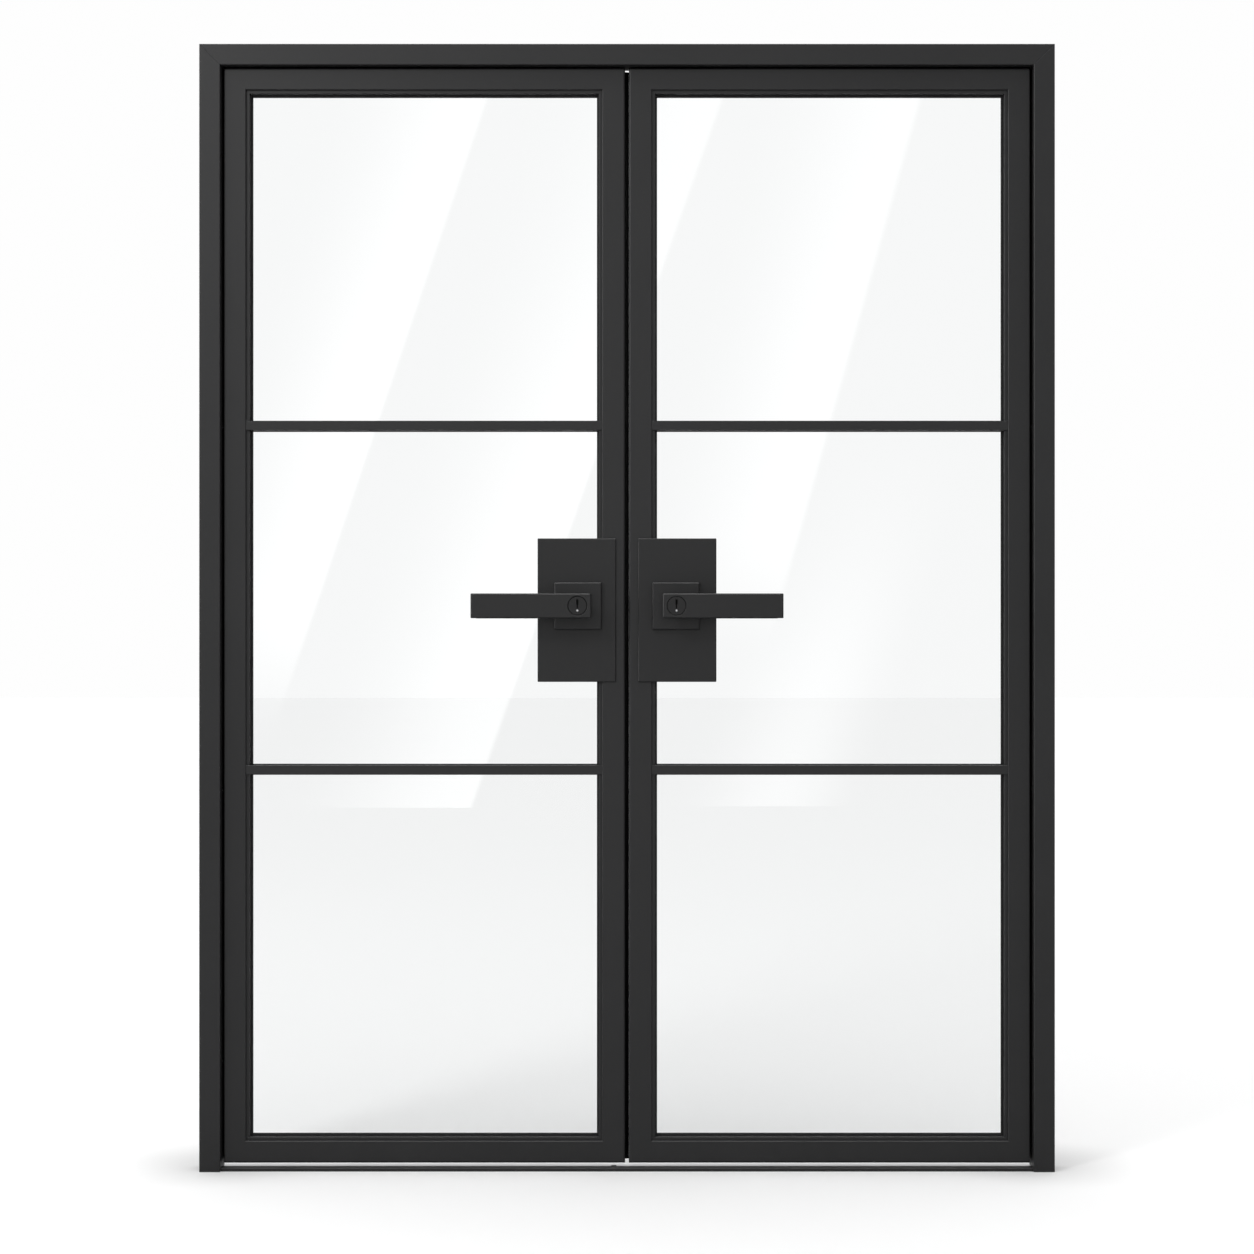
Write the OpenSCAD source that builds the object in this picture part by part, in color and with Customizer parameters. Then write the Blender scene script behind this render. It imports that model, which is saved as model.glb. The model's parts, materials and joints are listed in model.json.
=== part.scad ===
// Pair of glazed french doors in their frame, opening to the rear.
// X is along the doorway, -Y is the front, +Z is up. The origin is on the floor, midway between
// the leaves and at the middle of their thickness. Left and right are as seen from the front.

/* [Frame] */
// Overall width of the frame
frame_w = 1570; // [1300:10:1900]
// Overall height of the frame
frame_h = 2070; // [1800:10:2500]
// Face width of the jambs and the head
frame_face = 38.5; // [36:0.5:60]
// Wall of every hollow section
wall = 2; // [1.5:0.1:2.5]
// How far the leaves lie behind the front of the frame
leaf_recess = 15; // [5:1:30]
// Width by which a leaf's flange covers the frame
flange_overlap = 10; // [8:0.5:12]
// Gap between the flange's edge and the frame's rear part
flange_clear = 2.5; // [2:0.5:4]
// Thickness of the frame seals
seal_t = 4.7; // [3:0.1:6]
// Gap between the frame seals and the flange
seal_clear = 0.3; // [0.2:0.1:0.6]
// Width of the frame seals
seal_w = 8; // [5:0.5:8]

/* [Sill] */
// Depth of the sill bar
sill_depth = 20; // [12:1:24]
// Height of the sill bar
sill_h = 6; // [4:0.5:8]
// Setback of the sill bar from the front of the frame
sill_setback = 5; // [0:1:8]
// Height of the threshold plate
threshold_h = 4; // [3:0.5:6]

/* [Leaves] */
// Thickness of a leaf
leaf_depth = 44; // [40:1:54]
// Gap between a leaf and its jamb
side_gap = 5; // [3:0.5:6]
// Gap between a leaf and the head
top_gap = 2.5; // [2:0.5:5]
// Gap between the two leaves
meeting_gap = 7; // [6.5:0.5:9]
// Height of a leaf's bottom edge
floor_gap = 14; // [13:1:20]
// Face width of the hinge stiles
stile_w = 40; // [34:1:60]
// Face width of the meeting stiles
meeting_stile_w = 42; // [34:1:60]
// Face width of the rails
rail_w = 40; // [34:1:80]
// Thickness of the rear flange
flange_t = 3; // [2:0.5:4]
// Width of the glazing lip
lip_w = 6.5; // [5:0.5:10]
// Setback of the glazing lip from the leaf's front
lip_recess = 5; // [3:0.5:8]
// Height of the upper muntin's centre
muntin_upper_z = 1371; // [1250:1:1450]
// Height of the lower muntin's centre
muntin_lower_z = 737; // [500:1:800]
// Face height of a muntin
muntin_h = 17; // [16:0.5:24]
// Setback of a muntin from the leaf's front
muntin_recess = 1.5; // [0.5:0.5:3]

/* [Glazing] */
// Thickness of the glass
glass_t = 6; // [4:1:10]
// Thickness of a gasket
gasket_t = 3; // [2:0.5:4]
// Width of gasket that shows past a lip
gasket_show = 3.5; // [2:0.5:6]
// Width of gasket that shows past a muntin
gasket_show_muntin = 1.5; // [0.5:0.5:3]
// Gap between the glass and the bottom of its groove
glass_clear = 2; // [1:0.5:3]
// Depth of the glazing beads
bead_depth = 12; // [8:1:14]

/* [Lock] */
// Width of a cover plate
plate_w = 144; // [130:1:160]
// Height of a cover plate
plate_h = 264; // [200:1:300]
// Thickness of a cover plate
plate_t = 3; // [2:0.5:4]
// Distance from the meeting edge to the cover plate
plate_margin = 17; // [10:1:24]
// Height of the cover plates' centre
plate_z = 1031; // [980:1:1080]
// Overhang of the cover plates over the lock box
plate_overhang = 8; // [5:0.5:8]
// Side of the square rose
rose_side = 87; // [60:1:90]
// Thickness of the rose
rose_t = 10; // [6:1:12]
// Height of the spindle
lever_z = 1038.5; // [1000:0.5:1070]
// Distance from the meeting edge to the spindle
backset = 86.5; // [80:0.5:95]
// Length of a lever
lever_l = 219; // [180:1:260]
// Length of a lever past its spindle
lever_tail = 25; // [22:1:40]
// Height of a lever
lever_h = 45; // [42:1:50]
// Thickness of a lever
lever_t = 14; // [10:1:18]
// Distance from the cover plate to the lever's outer face
lever_reach = 62; // [50:1:75]
// Side of the square spindle
spindle_side = 8; // [7:0.5:9]
// Radius of the key plug's face
plug_r = 16.5; // [12:0.5:18]
// Throw of the latch bolt
latch_throw = 14; // [12:0.5:16]
// Height of the latch bolt
latch_h = 22; // [14:1:26]
// Thickness of the latch bolt
latch_t = 14; // [10:1:16]
// Radius of a flush bolt
bolt_r = 5; // [4:0.5:6]
// Throw of a flush bolt
bolt_throw = 12; // [10:0.5:12.5]
// Length of a flush bolt
bolt_l = 260; // [150:5:400]
// Projection of the seal on the left leaf's meeting edge
meeting_seal_t = 5; // [3:0.5:5]

/* [Hinges] */
// Height of a hinge
hinge_h = 100; // [80:1:120]
// Distance from a leaf's end to its outer hinges
hinge_end = 200; // [150:5:300]
// Radius of a hinge knuckle
knuckle_r = 7; // [6:0.5:8]
// Radius of a hinge pin
pin_r = 4; // [3:0.5:4.5]
// Thickness of a hinge plate
hinge_plate_t = 3; // [2:0.5:4]
// Width of the hinge plates on the frame
hinge_frame_w = 24; // [20:1:25]
// Width of the hinge plates on the leaves
hinge_leaf_w = 40; // [30:1:50]

/* [Wall fixings] */
// Radius of a wall fixing hole
fixing_r = 5.25; // [4:0.25:6]
// Distance from a jamb's ends to the nearest fixing hole
fixing_end = 200; // [150:10:300]
// Distance between the two holes of a pair
fixing_pitch = 500; // [300:10:600]

/* [Hidden] */
$fn = 48;
LEFT = -1;
RIGHT = 1;
run_fit = 0.05;          // radial clearance of a turning fit
slide_fit = 0.3;         // clearance of a sliding fit
butt_gap = 0.2;          // gap between strips that meet end on
arris_r = 1.5;           // rounded edge of a hollow section
small_arris_r = 0.8;     // rounded edge of a lip, flange or muntin
arc_steps = 3;           // flats on a rounded edge

black = [0.15, 0.15, 0.16];
rubber = [0.04, 0.04, 0.04];
silver = [0.75, 0.75, 0.76];
steel = [0.55, 0.55, 0.57];
clear = [0.82, 0.9, 0.9, 0.35];

// depth planes, from front to rear
leaf_y0 = -leaf_depth / 2;
leaf_y1 = leaf_depth / 2;
frame_y0 = leaf_y0 - leaf_recess;
frame_y1 = leaf_y1;
flange_y0 = leaf_y1 - flange_t;
step_y = flange_y0 - seal_clear - seal_t;
sill_y1 = frame_y0 + sill_setback + sill_depth;
glass_y0 = -glass_t / 2;
glass_y1 = glass_t / 2;
lip_y0 = leaf_y0 + lip_recess;
lip_y1 = glass_y0 - gasket_t;
bead_y0 = glass_y1 + gasket_t;
bead_y1 = bead_y0 + bead_depth;

// the doorway, the leaf and the inner edges of its sections, all for the right leaf
open_x = frame_w / 2 - frame_face;
open_z = frame_h - frame_face;
step_w = flange_overlap + flange_clear;
leaf_x0 = meeting_gap / 2;
leaf_x1 = open_x - side_gap;
leaf_z0 = floor_gap;
leaf_z1 = open_z - top_gap;
flange_side = side_gap + flange_overlap;
flange_top = top_gap + flange_overlap;
stile_x = leaf_x1 - stile_w;
meeting_x = leaf_x0 + meeting_stile_w;
top_z = leaf_z1 - rail_w;
bottom_z = leaf_z0 + rail_w;
web_t = muntin_h - 2 * lip_w;
muntin_y0 = leaf_y0 + muntin_recess;

// panes as [bottom of the groove, top of the groove, gasket past the lower and upper sight line]
panes = [
    [muntin_upper_z + web_t / 2, top_z, gasket_show_muntin, gasket_show],
    [muntin_lower_z + web_t / 2, muntin_upper_z - web_t / 2, gasket_show_muntin, gasket_show_muntin],
    [bottom_z, muntin_lower_z - web_t / 2, gasket_show, gasket_show_muntin]
];
TOP = 0;
MIDDLE = 1;
BOTTOM = 2;

// lock, for the right leaf
plate_x0 = leaf_x0 + plate_margin;
plate_x1 = plate_x0 + plate_w;
plate_z0 = plate_z - plate_h / 2;
plate_z1 = plate_z + plate_h / 2;
box_x1 = plate_x1 - plate_overhang;
box_z0 = plate_z0 + plate_overhang;
box_z1 = plate_z1 - plate_overhang;
box_wall = 2.5;
box_clear = 3;           // gap between the glass and the lock box
spindle_x = leaf_x0 + backset;
plate_y = leaf_y0 - plate_t;
rose_y = plate_y - rose_t;
lever_y0 = plate_y - lever_reach;
lever_y1 = lever_y0 + lever_t;
neck_r = 14;
socket_l = 34;           // depth of the spindle's socket in a lever's neck
neck_end_y = plate_y - slide_fit;
spindle_end_y = neck_end_y - socket_l;
hub_r = 14;
hub_t = 20;
spindle_hole_r = 6.5;
plug_t = 6;
plug_ring = 1;           // ring groove around the key plug
journal_r = 8;
journal_end_y = spindle_end_y - 3;
keyway = [[4, 2, 11.5], [2, -4.5, 2]];    // slots of the keyway as [width, lowest, highest]
keyway_depth = 4.5;
key_pin_r = 2.4;
key_pin_z = -8.7;
grip_l = 28;
grip_w = 8;
grip_h = 9;
latch_l = 62;
latch_slant = 10;        // depth of the latch bolt's slanted tip
faceplate_w = 26;
faceplate_h = 110;
bolt_x = leaf_x0 + meeting_stile_w / 2;
thumb_w = 5.4;
thumb_h = 12;
keep_clear = 0.5;        // clearance around a thrown bolt
seal_y0 = 9;             // depth plane and width of the meeting seal
seal_depth = 6;

// hinges, for the right leaf
hinge_x = open_x + flange_overlap + flange_clear / 2;
hinge_y = leaf_y1 + knuckle_r + 1;
hinge_zs = [leaf_z0 + hinge_end, (leaf_z0 + leaf_z1) / 2, leaf_z1 - hinge_end];
knuckle_gap = 0.3;
knuckle_h = hinge_h / 3;
plate_gap = 0.6;         // from the hinge axis to a plate
swing_gap = 0.5;         // around a turning knuckle
pin_cap_r = 6;
pin_cap_t = 3;

cleat_arm = 80;
cleat_t = 12;
fixing_y = -10;
fixing_zs = [
    fixing_end, fixing_end + fixing_pitch,
    frame_h - fixing_end - fixing_pitch, frame_h - fixing_end
];

// ---- helpers ----

function xy(p) = [p[0], p[1]];
function toward(p, q) = (xy(q) - xy(p)) / norm(xy(q) - xy(p));

// A square corner at p, between its neighbours a and b, rounded to the radius p[2]
function corner(a, p, b) =
    p[2] == 0 ? [xy(p)] :
    let (u = toward(p, a), v = toward(p, b), c = xy(p) + p[2] * (u + v))
    [for (i = [0:arc_steps]) let (t = 90 * i / arc_steps) c - p[2] * (v * cos(t) + u * sin(t))];

// An outline of square corners [x, y, radius] as plain points
function rounded(pts) =
    let (n = len(pts))
    [for (i = [0:n - 1]) each corner(pts[(i + n - 1) % n], pts[i], pts[(i + 1) % n])];

function rectangle(x0, y0, x1, y1, r = 0) = [[x0, y0, r], [x1, y0, r], [x1, y1, r], [x0, y1, r]];

// Drawn for the right side, and mirrored for the left
module on_side(side) {
    if (side == LEFT) mirror([1, 0, 0]) children();
    else children();
}

// Drawn for the front, and mirrored for the rear
module on_face(rear) {
    if (rear) mirror([0, 1, 0]) children();
    else children();
}

module block(lo, hi) translate(lo) cube(hi - lo);

// An x-z outline made solid from y0 to y1
module slab(y0, y1) translate([0, y1, 0]) rotate([90, 0, 0]) linear_extrude(y1 - y0) children();

// A y-z outline made solid from x0 to x1
module along_x(x0, x1) translate([x0, 0, 0]) rotate([90, 0, 90]) linear_extrude(x1 - x0) children();

// A cylinder along Y from y0 to y1
module rod_y(x, z, r, y0, y1) translate([x, y1, z]) rotate([90, 0, 0]) cylinder(r = r, h = y1 - y0);

// ---- frame ----

// Section of the frame as [distance in from its outer face, depth]
function frame_section(inset) = [
    [inset, frame_y0 + inset], [frame_face - inset, frame_y0 + inset],
    [frame_face - inset, step_y - inset], [frame_face - step_w - inset, step_y - inset],
    [frame_face - step_w - inset, frame_y1 - inset], [inset, frame_y1 - inset]
];

function frame_outline() =
    let (s = frame_section(0), r = [arris_r, arris_r, small_arris_r, 0, small_arris_r, small_arris_r])
    rounded([for (i = [0:5]) [s[i][0], s[i][1], r[i]]]);

module jamb(side) color(black) on_side(side) difference() {
    intersection() {
        linear_extrude(frame_h) difference() {
            polygon([for (p = frame_outline()) [frame_w / 2 - p[0], p[1]]]);
            polygon([for (p = frame_section(wall)) [frame_w / 2 - p[0], p[1]]]);
        }
        slab(frame_y0 - 1, frame_y1 + 1)
            polygon([[frame_w / 2, 0], [frame_w / 2, frame_h], [open_x, open_z], [open_x, 0]]);
    }
    for (z = fixing_zs)
        translate([open_x - 1, fixing_y, z]) rotate([0, 90, 0]) cylinder(r = fixing_r, h = frame_face + 2);
}

module head() color(black) difference() {
    intersection() {
        along_x(-frame_w / 2, frame_w / 2) difference() {
            polygon([for (p = frame_outline()) [p[1], frame_h - p[0]]]);
            polygon([for (p = frame_section(wall)) [p[1], frame_h - p[0]]]);
        }
        slab(frame_y0 - 1, frame_y1 + 1)
            polygon([
                [-frame_w / 2, frame_h], [frame_w / 2, frame_h], [open_x, open_z], [-open_x, open_z]
            ]);
    }
    translate([-bolt_x, 0, open_z - 1]) cylinder(r = bolt_r + keep_clear, h = wall + 2);
}

module corner_cleats() color(steel) for (side = [LEFT, RIGHT]) on_side(side)
    slab(frame_y0 + wall, step_y - wall)
        let (x = frame_w / 2 - wall, z = frame_h - wall)
        polygon([
            [x, z], [x - cleat_arm, z], [x - cleat_arm, z - cleat_t], [x - cleat_t, z - cleat_t],
            [x - cleat_t, z - cleat_arm], [x, z - cleat_arm]
        ]);

module sill_bar() color(black)
    along_x(-open_x, open_x)
        polygon(rounded([
            [sill_y1 - sill_depth, 0, 0], [sill_y1, 0, 0],
            [sill_y1, sill_h, small_arris_r], [sill_y1 - sill_depth, sill_h, small_arris_r]
        ]));

module threshold_plate() color(silver) difference() {
    block([-open_x, sill_y1, 0], [open_x, frame_y1, threshold_h]);
    translate([-bolt_x, 0, -1]) cylinder(r = bolt_r + keep_clear, h = threshold_h + 2);
}

module frame_seals() {
    margin = (flange_overlap - seal_w) / 2;
    color(rubber) {
        for (side = [LEFT, RIGHT]) on_side(side)
            block(
                [open_x + margin, step_y, leaf_z0],
                [open_x + margin + seal_w, step_y + seal_t, open_z + margin - butt_gap]
            );
        block(
            [-open_x - margin - seal_w, step_y, open_z + margin],
            [open_x + margin + seal_w, step_y + seal_t, open_z + margin + seal_w]
        );
    }
}

// ---- hinges ----

// The knuckles and their plate, with room for the other plate's knuckles
module hinge_plate(plate_lo, plate_hi, own, other) difference() {
    union() {
        difference() {
            block([plate_lo, leaf_y1, -hinge_h / 2], [plate_hi, leaf_y1 + hinge_plate_t, hinge_h / 2]);
            for (k = other)
                translate([hinge_x, hinge_y, k[0]])
                    cylinder(r = knuckle_r + swing_gap, h = k[1] - k[0]);
        }
        for (k = own)
            translate([hinge_x, hinge_y, k[0]]) cylinder(r = knuckle_r, h = k[1] - k[0]);
    }
    translate([hinge_x, hinge_y, -hinge_h]) cylinder(r = pin_r + run_fit, h = 2 * hinge_h);
}

frame_knuckles = [[-hinge_h / 2, -knuckle_h / 2], [knuckle_h / 2, hinge_h / 2]];
leaf_knuckles = [[-knuckle_h / 2 + knuckle_gap, knuckle_h / 2 - knuckle_gap]];
frame_room = [[-knuckle_h / 2, knuckle_h / 2]];
leaf_room = [
    [-hinge_h / 2 - 1, -knuckle_h / 2 + knuckle_gap], [knuckle_h / 2 - knuckle_gap, hinge_h / 2 + 1]
];

module hinge_frame_plates(side) color(black) on_side(side) for (z = hinge_zs) translate([0, 0, z])
    hinge_plate(hinge_x + plate_gap, hinge_x + hinge_frame_w, frame_knuckles, frame_room);

module hinge_leaf_plates(side) color(black) on_side(side) for (z = hinge_zs) translate([0, 0, z])
    hinge_plate(hinge_x - hinge_leaf_w, hinge_x - plate_gap, leaf_knuckles, leaf_room);

module hinge_pins() color(steel) for (side = [LEFT, RIGHT]) on_side(side) for (z = hinge_zs)
    translate([hinge_x, hinge_y, z]) {
        cylinder(r = pin_r, h = hinge_h, center = true);
        for (end = [0, 1]) mirror([0, 0, end])
            translate([0, 0, hinge_h / 2]) cylinder(r = pin_cap_r, h = pin_cap_t);
    }

// ---- leaf frame ----

// Section of a leaf member as [distance in from the leaf's edge, depth, radius]
function leaf_section(width, flange) = rounded(concat(
    [[0, leaf_y0, arris_r]],
    flange == 0 ? [[0, leaf_y1, arris_r]] : [
        [0, flange_y0, 0], [-flange, flange_y0, small_arris_r], [-flange, leaf_y1, small_arris_r]
    ],
    [
        [width, leaf_y1, arris_r], [width, lip_y1, 0], [width + lip_w, lip_y1, 0],
        [width + lip_w, lip_y0, small_arris_r], [width, lip_y0, 0], [width, leaf_y0, arris_r]
    ]
));

function hollow_section(width) =
    [[wall, leaf_y0 + wall], [width - wall, leaf_y0 + wall],
     [width - wall, leaf_y1 - wall], [wall, leaf_y1 - wall]];

module upright(x, direction, width, flange) linear_extrude(2 * frame_h) difference() {
    polygon([for (p = leaf_section(width, flange)) [x + direction * p[0], p[1]]]);
    polygon([for (p = hollow_section(width)) [x + direction * p[0], p[1]]]);
}

module crossbar(z, direction, flange) along_x(-frame_w, frame_w) difference() {
    polygon([for (p = leaf_section(rail_w, flange)) [p[1], z + direction * p[0]]]);
    polygon([for (p = hollow_section(rail_w)) [p[1], z + direction * p[0]]]);
}

// Corners of the leaf's frame, from the flange inwards, as seen at one corner
function hinge_corner(z, inward, flange) = [
    [leaf_x1 + flange_side, z - inward * flange], [leaf_x1, z],
    [stile_x, z + inward * rail_w], [stile_x - lip_w, z + inward * (rail_w + lip_w)]
];
function meeting_corner(z, inward) = [
    [leaf_x0, z], [meeting_x, z + inward * rail_w],
    [meeting_x + lip_w, z + inward * (rail_w + lip_w)]
];
function reversed(list) = [for (i = [len(list) - 1:-1:0]) list[i]];

module mitred() slab(leaf_y0 - 1, leaf_y1 + 1) children();

module hinge_stile(side) color(black) on_side(side) intersection() {
    upright(leaf_x1, -1, stile_w, flange_side);
    mitred() polygon(concat(
        hinge_corner(leaf_z1, -1, flange_top), reversed(hinge_corner(leaf_z0, 1, 0))
    ));
}

module meeting_stile(side) color(black) on_side(side) difference() {
    intersection() {
        upright(leaf_x0, 1, meeting_stile_w, 0);
        mitred() polygon(concat(meeting_corner(leaf_z1, -1), reversed(meeting_corner(leaf_z0, 1))));
    }
    block([meeting_x, leaf_y0 - 1, box_z0], [meeting_x + lip_w + 1, leaf_y1 + 1, box_z1]);
    block(
        [leaf_x0 - 1, -faceplate_w / 2, lever_z - faceplate_h / 2],
        [leaf_x0 + wall, faceplate_w / 2, lever_z + faceplate_h / 2]
    );
    latch_way(meeting_x + 1);
    if (side == LEFT) {
        thumb_slot(leaf_z0 + bolt_l, 0);
        thumb_slot(leaf_z1 - bolt_l, 1);
    }
}

// Slot for a flush bolt's thumb-piece, from the bolt's inner end z towards the leaf's end
module thumb_slot(z, up) translate([0, 0, z]) mirror([0, 0, up]) block(
    [leaf_x0 - 1, -thumb_w / 2 - slide_fit, -thumb_h - bolt_throw - slide_fit],
    [leaf_x0 + wall + 1, thumb_w / 2 + slide_fit, slide_fit]
);

// Way of the latch bolt through the meeting edge, as far as x
module latch_way(x) block(
    [leaf_x0 - 1, -latch_t / 2 - slide_fit, lever_z - latch_h / 2 - slide_fit],
    [x, latch_t / 2 + slide_fit, lever_z + latch_h / 2 + slide_fit]
);

// Way of a flush bolt through the wall of a rail
module bolt_way(z) translate([bolt_x, 0, z])
    cylinder(r = bolt_r + slide_fit, h = 2 * wall + 2, center = true);

module top_rail(side) color(black) on_side(side) difference() {
    intersection() {
        crossbar(leaf_z1, -1, flange_top);
        mitred() polygon(concat(
            hinge_corner(leaf_z1, -1, flange_top), reversed(meeting_corner(leaf_z1, -1)),
            [[leaf_x0, leaf_z1 + flange_top]]
        ));
    }
    if (side == LEFT) bolt_way(leaf_z1);
}

module bottom_rail(side) color(black) on_side(side) difference() {
    intersection() {
        crossbar(leaf_z0, 1, 0);
        mitred() polygon(concat(
            [for (p = hinge_corner(leaf_z0, 1, 0)) if (p[0] <= leaf_x1) p],
            reversed(meeting_corner(leaf_z0, 1))
        ));
    }
    if (side == LEFT) bolt_way(leaf_z0);
}

// T bar: its front runs to the stiles, and the rest stops at their lips
module muntin(side, z) color(black) on_side(side) difference() {
    union() {
        along_x(meeting_x, stile_x)
            polygon(rounded([
                [muntin_y0, z - muntin_h / 2, small_arris_r], [lip_y1, z - muntin_h / 2, 0],
                [lip_y1, z + muntin_h / 2, 0], [muntin_y0, z + muntin_h / 2, small_arris_r]
            ]));
        block([meeting_x, lip_y1, z - web_t / 2], [stile_x, bead_y1, z + web_t / 2]);
    }
    for (x = [meeting_x - 1, stile_x - lip_w])
        block([x, lip_y0, z - muntin_h], [x + lip_w + 1, lip_y1, z + muntin_h]);
}

// ---- glazing ----

// The notch that the lock box takes out of the middle pane
module notch(grow) translate([0, box_z0 - grow])
    square([box_x1 + grow, box_z1 - box_z0 + 2 * grow]);

module groove(pane, inset) translate([meeting_x + inset, panes[pane][0] + inset])
    square([stile_x - meeting_x - 2 * inset, panes[pane][1] - panes[pane][0] - 2 * inset]);

module sight(pane) translate([meeting_x + lip_w + gasket_show, panes[pane][0] + lip_w + panes[pane][2]])
    square([
        stile_x - meeting_x - 2 * (lip_w + gasket_show),
        panes[pane][1] - panes[pane][0] - 2 * lip_w - panes[pane][2] - panes[pane][3]
    ]);

module glass(side, pane) color(clear) on_side(side) slab(glass_y0, glass_y1) difference() {
    groove(pane, glass_clear);
    if (pane == MIDDLE) notch(box_clear);
}

module gaskets(side) color(rubber) on_side(side) for (pane = [TOP, MIDDLE, BOTTOM])
    for (y = [[lip_y1, glass_y0], [glass_y1, bead_y0]])
        slab(y[0], y[1]) difference() {
            groove(pane, glass_clear);
            difference() {
                sight(pane);
                if (pane == MIDDLE) notch(box_clear + gasket_show);
            }
            if (pane == MIDDLE) notch(0);
        }

// Bars that hold the glass from behind: level ones run through, upright ones between them
module beads(side) color(black) on_side(side) for (pane = [TOP, MIDDLE, BOTTOM]) {
    z0 = panes[pane][0] + lip_w;
    z1 = panes[pane][1] - lip_w;
    for (z = [z0 - lip_w, z1]) block([meeting_x, bead_y0, z], [stile_x, bead_y1, z + lip_w]);
    block([stile_x - lip_w, bead_y0, z0 + butt_gap], [stile_x, bead_y1, z1 - butt_gap]);
    spans = pane == MIDDLE ? [[z0, box_z0], [box_z1, z1]] : [[z0, z1]];
    for (s = spans)
        block(
            [meeting_x, bead_y0, s[0] + butt_gap],
            [meeting_x + lip_w, bead_y1, s[1] - butt_gap]
        );
}

// ---- lock ----

module lock_box(side) color(black) on_side(side) difference() {
    block([meeting_x, leaf_y0, box_z0], [box_x1, leaf_y1, box_z1]);
    block(
        [meeting_x + box_wall, leaf_y0 - 1, box_z0 + box_wall],
        [box_x1 - box_wall, leaf_y1 + 1, box_z1 - box_wall]
    );
    latch_way(meeting_x + box_wall + 1);
}

module cover_plate(side, rear) color(black) on_side(side) on_face(rear) difference() {
    slab(plate_y, leaf_y0)
        polygon(rounded(rectangle(plate_x0, plate_z0, plate_x1, plate_z1, arris_r)));
    rod_y(spindle_x, lever_z, spindle_hole_r, plate_y - 1, leaf_y0 + 1);
}

module rose(side, rear) color(black) on_side(side) on_face(rear) difference() {
    slab(rose_y, plate_y)
        polygon(rounded(rectangle(
            spindle_x - rose_side / 2, lever_z - rose_side / 2,
            spindle_x + rose_side / 2, lever_z + rose_side / 2, arris_r
        )));
    rod_y(spindle_x, lever_z, neck_r + slide_fit, rose_y - 1, plate_y + 1);
}

module lever(side, rear) color(black) on_side(side) on_face(rear) difference() {
    union() {
        slab(lever_y0, lever_y1)
            polygon(rounded(rectangle(
                spindle_x - lever_tail, lever_z - lever_h / 2,
                spindle_x - lever_tail + lever_l, lever_z + lever_h / 2, arris_r
            )));
        rod_y(spindle_x, lever_z, neck_r, lever_y1 - 1, neck_end_y);
    }
    rod_y(spindle_x, lever_z, plug_r + plug_ring, lever_y0 - 1, lever_y0 + plug_t + slide_fit);
    rod_y(spindle_x, lever_z, journal_r + run_fit, lever_y0, journal_end_y + slide_fit);
    translate([spindle_x, 0, lever_z])
        block(
            [-spindle_side / 2, spindle_end_y, -spindle_side / 2],
            [spindle_side / 2, neck_end_y + 1, spindle_side / 2]
        );
}

module spindle(side) color(steel) on_side(side) {
    translate([spindle_x, 0, lever_z])
        block(
            [-spindle_side / 2, spindle_end_y, -spindle_side / 2],
            [spindle_side / 2, -spindle_end_y, spindle_side / 2]
        );
    rod_y(spindle_x, lever_z, hub_r, -hub_t / 2, hub_t / 2);
}

module plug_body() {
    rod_y(spindle_x, lever_z, plug_r, lever_y0, lever_y0 + plug_t);
    rod_y(spindle_x, lever_z, journal_r, lever_y0 + plug_t - 1, journal_end_y);
}

module key_plug(side) color(black) on_side(side) {
    difference() {
        plug_body();
        for (k = keyway)
            block(
                [spindle_x - k[0] / 2, lever_y0 - 1, lever_z + k[1]],
                [spindle_x + k[0] / 2, lever_y0 + keyway_depth, lever_z + k[2]]
            );
    }
    rod_y(spindle_x, lever_z + key_pin_z, key_pin_r, lever_y0 - key_pin_r / 4, lever_y0 + 1);
}

module thumb_turn(side) color(black) on_side(side) on_face(true) {
    plug_body();
    block(
        [spindle_x - grip_w / 2, lever_y0 - grip_h, lever_z - grip_l / 2],
        [spindle_x + grip_w / 2, lever_y0 + 1, lever_z + grip_l / 2]
    );
}

// The tip slants on the side that meets the other leaf as the leaf closes
module latch_bolt() color(steel) translate([leaf_x0, 0, lever_z - latch_h / 2]) linear_extrude(latch_h)
    polygon([
        [0, latch_t / 2], [0, latch_t / 2 - (latch_t - latch_slant)],
        [latch_slant, -latch_t / 2], [latch_l, -latch_t / 2], [latch_l, latch_t / 2]
    ]);

// Plate let into a meeting edge, with the latch bolt's way through it
module edge_plate(side) color(steel) on_side(side) difference() {
    block(
        [leaf_x0, -faceplate_w / 2, lever_z - faceplate_h / 2],
        [leaf_x0 + wall, faceplate_w / 2, lever_z + faceplate_h / 2]
    );
    latch_way(leaf_x0 + wall + 1);
}

// Flush bolt in the left leaf, from the leaf's end z inwards
module flush_bolt(z, up) color(steel) on_side(LEFT) translate([0, 0, z]) mirror([0, 0, up]) {
    translate([bolt_x, 0, 0]) cylinder(r = bolt_r, h = bolt_l);
    block(
        [leaf_x0, -thumb_w / 2, bolt_l - thumb_h],
        [bolt_x, thumb_w / 2, bolt_l]
    );
}

module meeting_seal() color(rubber) on_side(LEFT)
    block([leaf_x0 - meeting_seal_t, seal_y0, leaf_z0], [leaf_x0, seal_y0 + seal_depth, leaf_z1]);

// ---- drawing ----

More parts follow.
